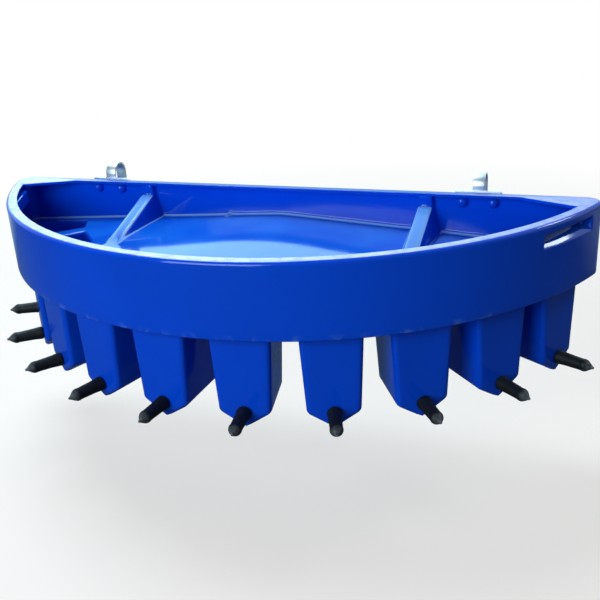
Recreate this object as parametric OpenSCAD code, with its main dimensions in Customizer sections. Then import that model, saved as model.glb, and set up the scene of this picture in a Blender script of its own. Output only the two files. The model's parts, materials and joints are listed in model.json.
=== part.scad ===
// Ten-teat lamb feeder: a half-moon milk tub that hooks over a gate rail.
// +X runs along the rail, +Y points to the gate and +Z is up.
// The origin is on the rail's axis, midway between the two hooks.

/* [Tub] */
// Width of the front curve where it meets the line of the back
tub_w = 1140; // [1080:10:1220]
// Depth from the flat back to the middle of the front
tub_d = 413; // [390:1:440]
// Height of the skirt band
skirt_h = 122; // [116:1:135]
// Thickness of the skirt and the back wall
wall_t = 6; // [5:0.5:7]
// Width of the flat rim
rim_w = 20; // [17:1:23]
// Thickness of the flat rim
rim_t = 5; // [4:0.5:6]
// Radius of the back corners
corner_r = 26; // [25:1:34]
// Rounding of the rim's outer edge
rim_edge_r = 7; // [4:1:9]
// Rounding of the skirt's bottom edge
skirt_edge_r = 2.5; // [1:0.5:2.5]

/* [Floor] */
// Depth of the floor's peak below the rim
peak_depth = 53; // [48:1:60]
// Fall of the floor away from its peak, in degrees
floor_fall = 3.8; // [3:0.1:5]
// Thickness of the floor
floor_t = 5; // [4:0.5:6]
// Distance of each gusset rib from its hook, towards the middle
rib_gap = 88; // [70:1:110]
// Width of a rib's ridge
rib_w = 22; // [18:1:28]
// Depth of a rib's ridge below the rim, at its upright end
rib_top = 24; // [16:1:30]
// Reach of a rib's upright end from the back
rib_stand = 20; // [16:1:24]
// Reach of a rib from the back wall
rib_reach = 160; // [130:1:164]

/* [Compartments] */
// Width of a compartment at the rim of its well
cup_w = 101; // [94:1:106]
// Width of a compartment at its lower corners
cup_low_w = 84; // [78:1:90]
// Width of the inner end of a compartment
cup_in_w = 88; // [80:1:92]
// Depth of a compartment, from its outer face inwards
cup_d = 116; // [108:1:118]
// Draft of a compartment's inner wall
cup_draft = 10; // [6:1:14]
// Setback of a compartment's outer face from the skirt
cup_set = 22; // [18:1:26]
// Depth of a compartment's lower corners below the rim
cup_corner_z = 250; // [240:1:258]
// Depth of a compartment's keel below the rim
cup_keel_z = 279; // [272:1:288]
// Rise of the keel from the teat to the inner end
keel_rise = 12; // [6:1:16]
// Wall of a compartment
cup_t = 5; // [4:0.5:6]
// Rounding of a compartment's edges
cup_edge_r = 10; // [9:1:12]
// Gap between the end compartments and the back corners
end_gap = 15; // [10:1:22]

/* [Teats] */
// Depth of the teats' axes below the rim
teat_z = 252; // [248:1:255]
// Reach of a teat from the compartment's face
teat_reach = 67; // [60:1:75]
// Radius of a teat's stem
stem_r = 10.5; // [9.5:0.1:10.8]
// Radius of a teat's milk bore
milk_r = 5; // [4:0.1:6]
// Radius of the neck that sits in the compartment's wall
neck_r = 10.5; // [10.2:0.1:11]
// Radius of the flange inside the compartment
flange_r = 14; // [13:0.1:14.5]
// Play between a teat's neck and its hole
neck_play = 0.3; // [0.2:0.05:0.4]
// Swing of a teat up or down, in degrees
teat_swing = 12; // [8:1:12]

/* [Hooks] */
// Distance of each hook from the end of the front curve, along the back
hook_inset = 210; // [190:1:230]
// Outside diameter of the gate rail
rail_dia = 33.7; // [33.4:0.1:34]
// Play between the rail and a hook
rail_play = 0.3; // [0.1:0.05:0.4]
// Height of the rail's axis above the rim
rail_up = 8; // [7:0.5:12]
// Thickness of the hook's flat bar
strap_t = 4; // [3:0.5:5]
// Width of the hook's strap
strap_w = 20; // [16:1:25]
// Length of the strap's tail below the rail's axis
tail_len = 22; // [14:1:30]
// Width of the hook's plate
plate_w = 80; // [76:1:90]
// Height of the hook's plate
plate_h = 32; // [30:1:36]
// Height of the plate's top edge above the rim
plate_up = 2; // [0:0.5:3]
// Spacing of the two bolts of a hook
bolt_gap = 52; // [48:1:56]
// Depth of the bolts below the rim
bolt_z = 15; // [14:0.5:18]

/* [Hand-holds] */
// Height of a hand-hold
grip_h = 20; // [16:1:24]
// Depth of a hand-hold at its deep end
grip_d = 20; // [16:1:24]
// Depth of a hand-hold at its front end
grip_start = 8; // [5:1:12]
// Depth of a hand-hold's upper edge below the rim
grip_z = 16; // [14:1:20]
// Length of a hand-hold along the skirt
grip_len = 126; // [100:1:130]
// Gap between a hand-hold and the back corner, along the skirt
grip_gap = 27; // [20:1:40]

/* [Hidden] */
$fn = 96;
STATIONS = 10;

// One overrun serves every cut.
over = 10;
// Segments in a profile's rounded corner
round_steps = 6;
// Sides of the balls and posts that round the compartments
cup_sides = 16;
// Thickness of the slice that starts a compartment
cup_slice = 1;

// Plan of the tub: one arc in front, a straight back and two corner arcs
front_r = (tub_w * tub_w / 4 + tub_d * tub_d) / (2 * tub_d);
front_c = front_r - tub_d;
corner_x = sqrt(pow(front_r - corner_r, 2) - pow(front_c + corner_r, 2));
corner_turn = atan2(corner_x, front_c + corner_r);
function arc_turn(len) = len / front_r * 180 / PI;

// Hooks and ribs along the back
hook_x = tub_w / 2 - hook_inset;
rib_x = hook_x - rib_gap;

// Place of the tub behind the rail: rim on top, back face towards the gate
saddle_r = (rail_dia + rail_play) / 2;
back_y = -saddle_r - strap_t;

// Stations: the end ones keep their gap to the back corners
face_r = front_r - cup_set;
end_station = corner_turn - asin((cup_w / 2 + end_gap) / face_r);
pitch = 2 * end_station / (STATIONS - 1);
function station_turn(k) = (k - (STATIONS + 1) / 2) * pitch;

// Ring of floor that carries the wells
ring_margin = 8;
ring_r = face_r - cup_d - ring_margin;
slope = tan(floor_fall);
// Spread of a rib's sides for each unit of their depth
rib_flare_share = 0.25;
function floor_z(x, y) = -peak_depth - slope * norm([x, y]);

// The rim widens towards the ends, above the hand-holds.
widen_len = 103;
widen_inset = 7;
widen_y = 63;
widen_x = corner_x - widen_len;
widen_reach = corner_x - widen_inset;

// Hand-holds deepen towards the back, and the ends' seams lie just in front of them.
seam_gap = 17;
grip_to = corner_turn - arc_turn(grip_gap);
grip_from = grip_to - arc_turn(grip_len);
grip_wall_turn = arc_turn(wall_t);
end_turn = grip_from - arc_turn(seam_gap);

// Bolts, washers and threaded inserts
bolt_r = 4;
bolt_play = 0.1;
bolt_hole_r = 4.5;
bolt_head_af = 13;
bolt_head_h = 5.3;
bolt_tip_r = 1;
bolt_reach = 11;
washer_r = 8;
washer_t = 1.6;
insert_r = 7;
insert_len = 13;
insert_play = 0.05;
insert_flat_r = 6.5;
insert_waist = 2.5;
dome_r = 10.5;
dome_h = 12;
dome_round = 7;
plate_round = 5;
strap_fillet = 4;

// Teat profile, measured from the middle of the compartment's wall
neck_half = cup_t / 2 + neck_play;
groove_r = neck_r - 2 * neck_half * sin(teat_swing);
flange_t = 2;
flange_edge = 1;
shoulder_r = 12.8;
shoulder_len = 6;
shoulder_flat = 2;
stem_taper = 0.6;
tip_len = 15;
tip_r = 5;
nipple_r = 2.6;
nipple_len = 4;
milk_hole_r = 0.8;
groove_step = 0.6;
tip_wall = 12;
teat_end = cup_t / 2 + teat_reach;

// Point on a circle about the front arc's centre, turned from the middle of the front
function front_point(r, turn) = [r * sin(turn), front_c - r * cos(turn)];

// Outline with each corner rounded by its own radius
function corner_arc(a, b, c, r) =
    let (
        u = (a - b) / norm(a - b),
        v = (c - b) / norm(c - b),
        half = acos(u * v) / 2,
        hub = b + (u + v) / norm(u + v) * r / sin(half),
        from = b + u * r / tan(half) - hub,
        to = b + v * r / tan(half) - hub,
        start = atan2(from[1], from[0]),
        turn = atan2(from[0] * to[1] - from[1] * to[0], from * to)
    )
    [for (i = [0:round_steps]) hub + r * [cos(start + turn * i / round_steps), sin(start + turn * i / round_steps)]];

function rounded(points, radii) =
    let (n = len(points))
    [for (i = [0:n - 1])
        each radii[i] == 0
            ? [points[i]]
            : corner_arc(points[(i + n - 1) % n], points[i], points[(i + 1) % n], radii[i])];

// Section of the skirt, with its rim reaching inwards: x is 0 on the tub's outline and grows outwards, y is height
module skirt_section(rim_reach) {
    polygon(rounded(
        [
            [0, -skirt_h],
            [0, 0],
            [-rim_reach, 0],
            [-rim_reach, -rim_t],
            [-wall_t, -rim_t],
            [-wall_t, -skirt_h]
        ],
        [skirt_edge_r, rim_edge_r, 0, 0, 0, skirt_edge_r]
    ));
}

// Puts what is drawn from the rim's top and the tub's back face into the rail's frame.
module in_tub() {
    translate([0, back_y, -rail_up]) children();
}

// Skirt along the front arc, between two turns from its middle
module front_band(from, to) {
    translate([0, front_c, 0])
        rotate([0, 0, from - 90])
            rotate_extrude(angle = to - from)
                translate([front_r, 0]) skirt_section(rim_w);
}

// Wall along the straight back, from its middle outwards
module back_band(reach) {
    rotate([90, 0, 90]) linear_extrude(reach) skirt_section(rim_w);
}

// Rounded back corner, with a rim that closes over it
module corner_band() {
    translate([corner_x, -corner_r, 0])
        rotate([0, 0, corner_turn - 90])
            rotate_extrude(angle = 180 - corner_turn)
                translate([corner_r, 0]) skirt_section(corner_r);
}

// Plan of the tub, drawn in from its outline
module tub_plan(inset) {
    difference() {
        intersection() {
            translate([0, front_c]) circle(front_r - inset);
            translate([-tub_w, -tub_w - inset]) square([2 * tub_w, tub_w]);
        }
        for (side = [-1, 1]) scale([side, 1])
            polygon([
                [corner_x, -corner_r],
                [corner_x, over],
                [tub_w, over],
                front_point(tub_w, corner_turn)
            ]);
    }
    for (side = [-1, 1]) translate([side * corner_x, -corner_r]) circle(corner_r - inset);
}

// Plate that widens the rim between the straight back and an end, up to the corner and the front's own rim
module wide_rim() {
    reach_turn = atan2(widen_reach, front_c + widen_y);
    lap = (rim_w + wall_t) / 2;
    translate([0, 0, -rim_t])
        linear_extrude(rim_t)
            intersection() {
                polygon([
                    [widen_x, -lap],
                    [widen_x, -rim_w],
                    [widen_reach, -widen_y],
                    front_point(front_r, reach_turn),
                    front_point(front_r, corner_turn),
                    [corner_x, -corner_r],
                    [corner_x, -lap]
                ]);
                translate([0, front_c]) circle(front_r - rim_w);
            }
}

// Recess in plan, from a shallow front end to its full depth at its back end
module grip_recess() {
    translate([0, 0, -grip_z - grip_h])
        linear_extrude(grip_h)
            polygon([
                front_point(front_r + over, grip_from),
                front_point(front_r - grip_start, grip_from),
                front_point(front_r - grip_d, grip_to),
                front_point(front_r + over, grip_to)
            ]);
}

// Skin round a hand-hold's recess, inside the tub
module grip_skin() {
    translate([0, 0, -grip_z - grip_h - wall_t])
        linear_extrude(grip_h + 2 * wall_t)
            polygon([
                front_point(front_r - wall_t / 2, grip_from - grip_wall_turn),
                front_point(front_r - grip_start - wall_t, grip_from - grip_wall_turn),
                front_point(front_r - grip_d - wall_t, grip_to),
                front_point(front_r - grip_d, grip_to + grip_wall_turn),
                front_point(front_r - wall_t / 2, grip_to + grip_wall_turn),
                front_point(front_r - wall_t / 2, (grip_from + grip_to) / 2)
            ]);
}

module tub_end() {
    difference() {
        union() {
            front_band(end_turn, corner_turn);
            grip_skin();
        }
        grip_recess();
    }
}

module right_end() {
    color("#0a41c8") in_tub() tub_end();
}

module left_end() {
    color("#0a41c8") in_tub() mirror([1, 0, 0]) tub_end();
}

module right_corner() {
    color("#0a41c8") in_tub() corner_band();
}

module left_corner() {
    color("#0a41c8") in_tub() mirror([1, 0, 0]) corner_band();
}

module front_skirt() {
    color("#0a41c8") in_tub() front_band(-end_turn, end_turn);
}

// Places of the four bolts, on the tub's back face
module at_bolts() {
    for (side = [-1, 1], step = [-1, 1])
        translate([side * hook_x + step * bolt_gap / 2, 0, -bolt_z])
            rotate([90, 0, 0]) children();
}

// Closed boss inside the wall over a threaded insert
module dome() {
    rotate_extrude()
        polygon(rounded(
            [[0, 0], [dome_r, 0], [dome_r, wall_t + dome_h], [0, wall_t + dome_h]],
            [0, 0, dome_round, 0]
        ));
}

module back_wall() {
    color("#0a41c8") in_tub() difference() {
        union() {
            for (side = [0, 1]) mirror([side, 0, 0]) {
                back_band(corner_x);
                wide_rim();
            }
            at_bolts() dome();
        }
        at_bolts() translate([0, 0, -over]) cylinder(r = insert_r + insert_play, h = over + insert_len);
    }
}

// Everything under the floor's conical top, or under a copy of it that lies lower
module under_floor(drop) {
    translate([0, 0, -drop])
        rotate_extrude()
            polygon([
                [0, -peak_depth],
                [tub_w, -peak_depth - slope * tub_w],
                [tub_w, -cup_keel_z - tub_w],
                [0, -cup_keel_z - tub_w]
            ]);
}

// Floor over the plan that is given as children
module floor_sheet() {
    intersection() {
        translate([0, 0, -skirt_h]) linear_extrude(skirt_h) children();
        difference() {
            under_floor(0);
            under_floor(floor_t);
        }
    }
}

// Section of a rib: a rounded ridge at y = 0, and sides that spread away from it
module rib_section(inset) {
    half_w = rib_w / 2 - inset;
    foot_w = half_w + rib_flare_share * skirt_h;
    polygon(rounded(
        [[-half_w, -inset], [half_w, -inset], [foot_w, -skirt_h], [-foot_w, -skirt_h]],
        [half_w / 2, half_w / 2, 0, 0]
    ));
}

// Ridge that falls from the rib's upright end to the floor, and runs on up to the back
module rib_ridge(inset) {
    end_z = floor_z(rib_x, rib_reach);
    fall = atan2(-rib_top - end_z, rib_reach - rib_stand);
    run = norm([rib_reach - rib_stand, end_z + rib_top]);
    run_on = rib_stand / cos(fall);
    translate([0, -rib_stand, -rib_top])
        rotate([90 + fall, 0, 0])
            translate([0, 0, -run_on])
                linear_extrude(run + run_on) rib_section(inset);
}

// Upright end of a rib, which stands against the back wall and meets the rim from below
module rib_upright() {
    translate([0, -rib_stand, -skirt_h])
        linear_extrude(skirt_h - rim_t)
            rotate([0, 0, 180]) rib_section(0);
}

module ring_plan() {
    translate([0, front_c]) circle(ring_r);
}

// Half-space in front of the back wall, from a depth into the tub
module before_back(depth) {
    translate([-tub_w, -2 * tub_w - depth, -tub_w]) cube([2 * tub_w, 2 * tub_w, 2 * tub_w]);
}

module tub_floor() {
    color("#0a41c8") in_tub() difference() {
        union() {
            floor_sheet() intersection() {
                ring_plan();
                tub_plan(wall_t);
            }
            for (side = [-1, 1]) translate([side * rib_x, 0, 0])
                intersection() {
                    union() {
                        rib_ridge(0);
                        rib_upright();
                    }
                    before_back(wall_t);
                    translate([-side * rib_x, 0, 0]) difference() {
                        translate([-tub_w, -tub_w, -skirt_h]) cube([2 * tub_w, tub_w, skirt_h]);
                        under_floor(floor_t);
                    }
                }
        }
        for (side = [-1, 1]) translate([side * rib_x, 0, 0]) intersection() {
            rib_ridge(floor_t);
            before_back(wall_t + floor_t);
        }
    }
}

// Corner of a compartment at its top, and at its lower edge, in the compartment's own frame
function cup_post(side, inner) = inner == 0
    ? [side * (cup_w / 2 - cup_edge_r), cup_edge_r]
    : [side * (cup_in_w / 2 - cup_edge_r), cup_d - cup_edge_r];
function cup_foot(side, inner) = inner == 0
    ? [side * (cup_low_w / 2 - cup_edge_r), cup_edge_r]
    : [side * (cup_in_w - cup_w + cup_low_w) / 2 - side * cup_edge_r, cup_d - cup_draft - cup_edge_r];

// Tapered well with a keel, rounded by balls and posts of one radius.
// Its frame has the outer face at y = 0 and the tub's middle towards +y.
module cup_solid(r) {
    ball_r = r / cos(180 / cup_sides);
    hull() {
        for (side = [-1, 1], inner = [0, 1]) {
            translate([each cup_post(side, inner), -peak_depth])
                cylinder(r = r, h = cup_slice, $fn = cup_sides);
            translate([each cup_foot(side, inner), cup_edge_r - cup_corner_z])
                sphere(ball_r, $fn = cup_sides);
        }
        for (inner = [0, 1])
            translate([0, cup_foot(1, inner)[1], cup_edge_r - cup_keel_z + inner * keel_rise])
                sphere(ball_r, $fn = cup_sides);
    }
}

// Puts what is drawn at a compartment's outer face at its station.
module at_station(k) {
    translate([0, front_c, 0])
        rotate([0, 0, station_turn(k)])
            translate([0, -face_r, 0]) children();
}

// Slice of the ring of floor that belongs to one station
module station_plan(k) {
    from = k == 1 ? -90 : station_turn(k) - pitch / 2;
    to = k == STATIONS ? 90 : station_turn(k) + pitch / 2;
    intersection() {
        difference() {
            tub_plan(wall_t);
            ring_plan();
        }
        polygon([
            [0, front_c],
            front_point(2 * tub_w, from),
            front_point(2 * tub_w, (from + to) / 2),
            front_point(2 * tub_w, to)
        ]);
    }
}

module compartment(k) {
    color("#0a41c8") in_tub() difference() {
        union() {
            floor_sheet() station_plan(k);
            intersection() {
                at_station(k) cup_solid(cup_edge_r);
                under_floor(0);
                before_back(wall_t);
            }
        }
        intersection() {
            at_station(k) cup_solid(cup_edge_r - cup_t);
            before_back(wall_t + cup_t);
        }
        at_station(k) translate([0, -over, -teat_z])
            rotate([-90, 0, 0]) cylinder(r = neck_r + neck_play, h = 2 * over);
    }
}

// Half of a teat's outline on the side away from the wall, kept clear of it over the swing
function swing_gap(r) = (neck_half + r * sin(teat_swing)) / cos(teat_swing);
function neck_point(a) = [sqrt(neck_r * neck_r - a * a), a];

// Rubber teat: flange, round neck, shoulder, stem and pointed tip, with its milk bore
module teat_form() {
    tip_base = teat_end - nipple_len - tip_len;
    inside = -swing_gap(flange_r) - flange_t;
    rotate_extrude()
        polygon(concat(
            [
                [milk_r, inside],
                [flange_r - flange_edge, inside],
                [flange_r, inside + flange_edge],
                [flange_r, -swing_gap(flange_r)],
                [groove_r, -swing_gap(groove_r)],
                [groove_r, -neck_half - groove_step]
            ],
            [for (i = [-round_steps:round_steps]) neck_point(neck_half * i / round_steps)],
            [
                [groove_r, neck_half + groove_step],
                [groove_r, swing_gap(groove_r)],
                [shoulder_r, swing_gap(shoulder_r)],
                [shoulder_r, swing_gap(shoulder_r) + shoulder_flat],
                [stem_r, swing_gap(shoulder_r) + shoulder_len],
                [stem_r - stem_taper, tip_base],
                [tip_r, tip_base + tip_len],
                [nipple_r, tip_base + tip_len],
                [nipple_r, teat_end - nipple_r / 2],
                [nipple_r / 2, teat_end],
                [milk_hole_r, teat_end],
                [milk_hole_r, teat_end - tip_wall],
                [milk_r, tip_base - tip_wall]
            ]
        ));
}

module teat(k) {
    color("#1c1c1e") in_tub()
        at_station(k) translate([0, cup_t / 2, -teat_z])
            rotate([90, 0, 0]) teat_form();
}

// Plate and the foot of its strap, seen from the gate
module hook_blank() {
    difference() {
        union() {
            translate([0, plate_up - plate_h])
                polygon(rounded(
                    [[-plate_w / 2, 0], [plate_w / 2, 0], [plate_w / 2, plate_h], [-plate_w / 2, plate_h]],
                    [plate_round, plate_round, plate_round, plate_round]
                ));
            translate([-strap_w / 2, plate_up - plate_round]) square([strap_w, rail_up - plate_up + plate_round]);
            difference() {
                translate([-strap_w / 2 - strap_fillet, plate_up - strap_fillet])
                    square([strap_w + 2 * strap_fillet, 2 * strap_fillet]);
                for (side = [-1, 1])
                    translate([side * (strap_w / 2 + strap_fillet), plate_up + strap_fillet]) circle(strap_fillet);
            }
        }
        for (step = [-1, 1]) translate([step * bolt_gap / 2, -bolt_z]) circle(bolt_hole_r);
    }
}

// Strap over the rail, drawn about the rail's axis: x to the gate, y up
module strap_bow() {
    intersection() {
        difference() {
            circle(saddle_r + strap_t);
            circle(saddle_r);
        }
        translate([-tub_d, 0]) square([2 * tub_d, tub_d]);
    }
    translate([saddle_r, -tail_len]) square([strap_t, tail_len]);
}

module hook() {
    translate([0, back_y + strap_t, -rail_up]) rotate([90, 0, 0]) linear_extrude(strap_t) hook_blank();
    translate([-strap_w / 2, 0, 0]) rotate([90, 0, 90]) linear_extrude(strap_w) strap_bow();
}

module left_hook() {
    color("#b9bcbf") translate([-hook_x, 0, 0]) hook();
}

module right_hook() {
    color("#b9bcbf") translate([hook_x, 0, 0]) hook();
}

// Height of a fastener's seat above the tub's back face
washer_seat = -strap_t;
head_seat = washer_seat - washer_t;

module hook_bolts() {
    color("#c9ccd0") in_tub() at_bolts() {
        translate([0, 0, head_seat - bolt_head_h])
            cylinder(d = bolt_head_af / cos(30), h = bolt_head_h, $fn = 6);
        translate([0, 0, head_seat]) cylinder(r = bolt_r, h = bolt_reach - bolt_tip_r - head_seat);
        translate([0, 0, bolt_reach - bolt_tip_r]) cylinder(r1 = bolt_r, r2 = bolt_r - bolt_tip_r, h = bolt_tip_r);
    }
}

module bolt_washers() {
    color("#c9ccd0") in_tub() at_bolts()
        translate([0, 0, head_seat]) difference() {
            cylinder(r = washer_r, h = washer_t);
            translate([0, 0, -over]) cylinder(r = bolt_r + 2 * bolt_play, h = washer_t + 2 * over);
        }
}

// Waisted insert that the plastic grips, drilled for the bolt
module threaded_inserts() {
    color("#b08d3c") in_tub() at_bolts() difference() {
        union() {
            cylinder(r = insert_r, h = (insert_len - insert_waist) / 2);
            cylinder(r = insert_flat_r, h = insert_len);
            translate([0, 0, (insert_len + insert_waist) / 2]) cylinder(r = insert_r, h = (insert_len - insert_waist) / 2);
        }
        translate([0, 0, -over]) cylinder(r = bolt_r + bolt_play, h = over + bolt_reach + bolt_tip_r);
    }
}

back_wall();
front_skirt();
left_end();
right_end();
left_corner();
right_corner();
tub_floor();
for (k = [1:STATIONS]) compartment(k);
for (k = [1:STATIONS]) teat(k);
left_hook();
right_hook();
hook_bolts();
bolt_washers();
threaded_inserts();
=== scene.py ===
"""Looks of a ten-teat lamb feeder: one moulded tub, rubber teats, gate hooks and their bolts."""

import json
import math
from collections import namedtuple
from functools import partial

import bmesh
import bpy
from bpy.props import FloatProperty, FloatVectorProperty, PointerProperty
from mathutils import Matrix, Vector
from mathutils.geometry import delaunay_2d_cdt


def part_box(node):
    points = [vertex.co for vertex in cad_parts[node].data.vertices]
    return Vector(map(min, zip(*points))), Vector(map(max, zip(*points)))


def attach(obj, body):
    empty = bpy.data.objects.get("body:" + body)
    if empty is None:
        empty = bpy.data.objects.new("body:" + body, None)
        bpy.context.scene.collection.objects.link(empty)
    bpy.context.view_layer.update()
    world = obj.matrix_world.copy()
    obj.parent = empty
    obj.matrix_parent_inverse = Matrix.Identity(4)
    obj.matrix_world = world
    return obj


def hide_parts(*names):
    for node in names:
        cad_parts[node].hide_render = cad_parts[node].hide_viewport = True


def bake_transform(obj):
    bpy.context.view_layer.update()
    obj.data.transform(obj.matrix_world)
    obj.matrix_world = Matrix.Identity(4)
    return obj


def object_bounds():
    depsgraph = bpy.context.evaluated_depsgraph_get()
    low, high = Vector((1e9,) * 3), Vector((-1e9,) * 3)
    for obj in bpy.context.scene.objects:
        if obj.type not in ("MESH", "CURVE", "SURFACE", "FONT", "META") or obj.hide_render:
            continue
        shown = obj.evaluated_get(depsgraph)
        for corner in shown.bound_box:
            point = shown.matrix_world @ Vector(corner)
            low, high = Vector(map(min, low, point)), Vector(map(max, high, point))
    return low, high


bl_info = {
    "name": "Lamb Feeder",
    "version": (1, 0, 0),
    "blender": (4, 5, 0),
    "location": "3D View > Sidebar > Feeder",
    "description": "Builds the looks of a ten-teat lamb feeder around its packed parts",
    "category": "Add Mesh",
}

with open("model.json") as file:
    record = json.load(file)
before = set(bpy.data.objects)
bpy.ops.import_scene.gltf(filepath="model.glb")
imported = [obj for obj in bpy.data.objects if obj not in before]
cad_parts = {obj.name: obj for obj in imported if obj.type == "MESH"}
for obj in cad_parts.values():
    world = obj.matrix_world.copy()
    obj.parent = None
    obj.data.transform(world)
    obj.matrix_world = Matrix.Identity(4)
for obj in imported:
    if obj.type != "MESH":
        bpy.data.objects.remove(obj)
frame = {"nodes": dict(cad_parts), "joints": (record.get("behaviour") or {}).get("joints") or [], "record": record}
cad_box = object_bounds()

MM = 0.001
TUB_BODY = "tub"

# Stations: each teat's hinge gives its place on the front arc.
HINGES = sorted(frame["joints"], key=lambda joint: joint["pos_m"][0])
TURNS = [math.atan2(hinge["axis"][1], hinge["axis"][0]) for hinge in HINGES]
HINGE_R = HINGES[-1]["pos_m"][0] / math.sin(TURNS[-1])
ARC_Y = HINGES[-1]["pos_m"][1] + HINGE_R * math.cos(TURNS[-1])
TEAT_Z = HINGES[-1]["pos_m"][2]

# Outline of the tub: front arc, straight back and the corners that join them
RIM_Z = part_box("front_skirt")[1].z
SKIRT_H = RIM_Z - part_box("front_skirt")[0].z
BACK_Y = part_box("back_wall")[1].y
FRONT_R = max(
    math.hypot(v.co.x, v.co.y - ARC_Y) for v in frame["nodes"]["front_skirt"].data.vertices
)
FRONT_C = ARC_Y - BACK_Y
CORNER_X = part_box("right_corner")[0].x
CORNER_R = (FRONT_R**2 - FRONT_C**2 - CORNER_X**2) / (2 * (FRONT_R + FRONT_C))
CORNER_TURN = math.atan2(CORNER_X, FRONT_C + CORNER_R)

TUB_NODES = frame["record"]["behaviour"]["bodies"][TUB_BODY]
SHELL_NODES = ["back_wall", "front_skirt", "left_end", "right_end", "left_corner", "right_corner"]
WELL_NODES = [n for n in TUB_NODES if n.startswith("compartment_")]

# Points along the outline: on the front, a hand-hold, the end behind it, a corner, the widened rim, the
# back, a rib and the pip
FRONT_STEPS, GRIP_STEPS, END_STEPS, CORNER_STEPS = 72, 42, 8, 18
WIDE_STEPS, BACK_STEPS, RIB_STEPS, PIP_STEPS = 7, 26, 37, 13
# Rings down a well's walls, and shares by which those of its keel close in
WALL_STEPS = 11
KEEL_SHARES = (0.8, 0.6, 0.42, 0.26, 0.12)
# Points nearer than this are one point, and edges sharper than this stay crisp.
MERGE = 0.01 * MM
CRISP = math.radians(50)


def linear(hex_colour):
    """Linear colour of an sRGB hex value."""
    values = [int(hex_colour[i : i + 2], 16) / 255 for i in (1, 3, 5)]
    return [v / 12.92 if v <= 0.04045 else ((v + 0.055) / 1.055) ** 2.4 for v in values]


def length(name, description, millimetres):
    """A size that a user may change, written in millimetres."""
    return FloatProperty(
        name=name, description=description, default=millimetres * MM, unit="LENGTH", precision=4
    )


def colour(name, description, hex_colour):
    """A colour that a user may change, written as an sRGB hex value."""
    return FloatVectorProperty(
        name=name,
        description=description,
        default=linear(hex_colour),
        size=3,
        subtype="COLOR",
        min=0,
        max=1,
    )


def turn(name, description, degrees):
    """An angle that a user may change, written in degrees."""
    return FloatProperty(
        name=name, description=description, default=math.radians(degrees), subtype="ANGLE"
    )


class FeederTubSettings(bpy.types.PropertyGroup):
    """Sizes and colour of the moulded tub."""

    wall: length("Wall", "Thickness of the skirt", 6)
    rim: length("Rim", "Width of the flat rim", 20)
    rim_t: length("Rim Thickness", "Thickness of the flat rim", 5)
    rim_edge: length("Rim Edge", "Rounding of the rim's outer edge", 7)
    foot_edge: length("Foot Edge", "Rounding of the skirt's bottom edge", 2.5)
    inner_edge: length("Inner Edge", "Rounding of the rim's trimmed inner edge", 1)
    widen_x: length("Widening Start", "Where the rim starts to widen along the back", 430)
    widen_reach: length("Widening Reach", "How far along the back the widened rim reaches", 526)
    widen_depth: length("Widening Depth", "How far in front of the back it reaches", 63)
    grip_from: turn("Hand-hold Start", "Turn at which a hand-hold starts", 53.6)
    grip_length: length("Hand-hold Length", "Length of a hand-hold along the skirt", 126)
    grip_depth: length("Hand-hold Depth", "Depth of a hand-hold at its deep end", 20)
    grip_start: length("Hand-hold Front", "Depth of a hand-hold at its front end", 8)
    grip_top: length("Hand-hold Top", "Depth of a hand-hold's upper edge below the rim", 16)
    grip_height: length("Hand-hold Height", "Height of a hand-hold", 20)
    peak: length("Floor Peak", "Depth of the floor's peak below the rim", 53)
    fall: turn("Floor Fall", "Fall of the floor away from its peak", 3.8)
    cove: length("Cove", "Rounding between the floor and the walls", 9)
    rib_x: length("Rib Place", "Distance of each rib from the middle", 272)
    rib_w: length("Rib Width", "Width of a rib's ridge", 26)
    rib_top: length("Rib Top", "Depth of a rib's ridge below the rim, at its upright end", 24)
    rib_stand: length("Rib Upright", "Reach of a rib's upright end from the back", 20)
    rib_reach: length("Rib Reach", "Reach of a rib from the back wall", 160)
    pip_x: length("Pip Place", "Place of the moulded pip along the back", -105)
    pip_r: length("Pip Radius", "Radius of the moulded pip", 5)
    pip_h: length("Pip Height", "Height of the moulded pip", 3.5)
    blue: colour("Blue", "Colour of the moulded plastic", "#0146cc")


class FeederWellSettings(bpy.types.PropertyGroup):
    """Sizes of the ten wells."""

    wide: length("Width", "Outside width at the mouth", 101)
    low: length("Low Width", "Outside width at the lower corners", 84)
    inner: length("Inner Width", "Outside width of the inner end", 88)
    deep: length("Depth", "Depth from the outer face inwards", 116)
    draft: length("Draft", "Draft of the inner wall", 10)
    corner: length("Lower Corners", "Depth of the lower corners below the rim", 257)
    keel: length("Keel", "Depth of the keel below the rim", 279)
    rise: length("Keel Rise", "Rise of the keel to the inner end", 12)
    wall: length("Wall", "Thickness of the wells and the floor", 5)
    edge: length("Edges", "Outside rounding of the edges", 8)
    lip: length("Lip", "Rounding between the floor and a well", 6)


class FeederTeatSettings(bpy.types.PropertyGroup):
    """Sizes and colours of the rubber teats."""

    reach: length("Reach", "Reach of a teat from the well's face", 67)
    stem: length("Stem", "Radius of the stem", 10.5)
    bore: length("Bore", "Radius of the milk bore", 5)
    black: colour("Black", "Colour of the rubber", "#0f0f11")
    # The tip's worn grey is also a painted highlight.
    worn_and_sheen: colour("Worn", "Colour of the rubbed tip", "#6f7075")


class FeederHookSettings(bpy.types.PropertyGroup):
    """Finish of the hooks and sizes of their bolts."""

    edge: length("Edge", "Rounding of the bar's edges", 0.8)
    head_flats: length("Bolt Head", "Width of a bolt's head across its flats", 13)
    head_h: length("Head Height", "Height of a bolt's head", 5.3)
    shank: length("Shank", "Radius of a bolt's shank", 4)
    washer: length("Washer", "Radius of a washer", 8)
    zinc: colour("Zinc", "Colour of the galvanised hooks", "#d3d6d8")


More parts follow.
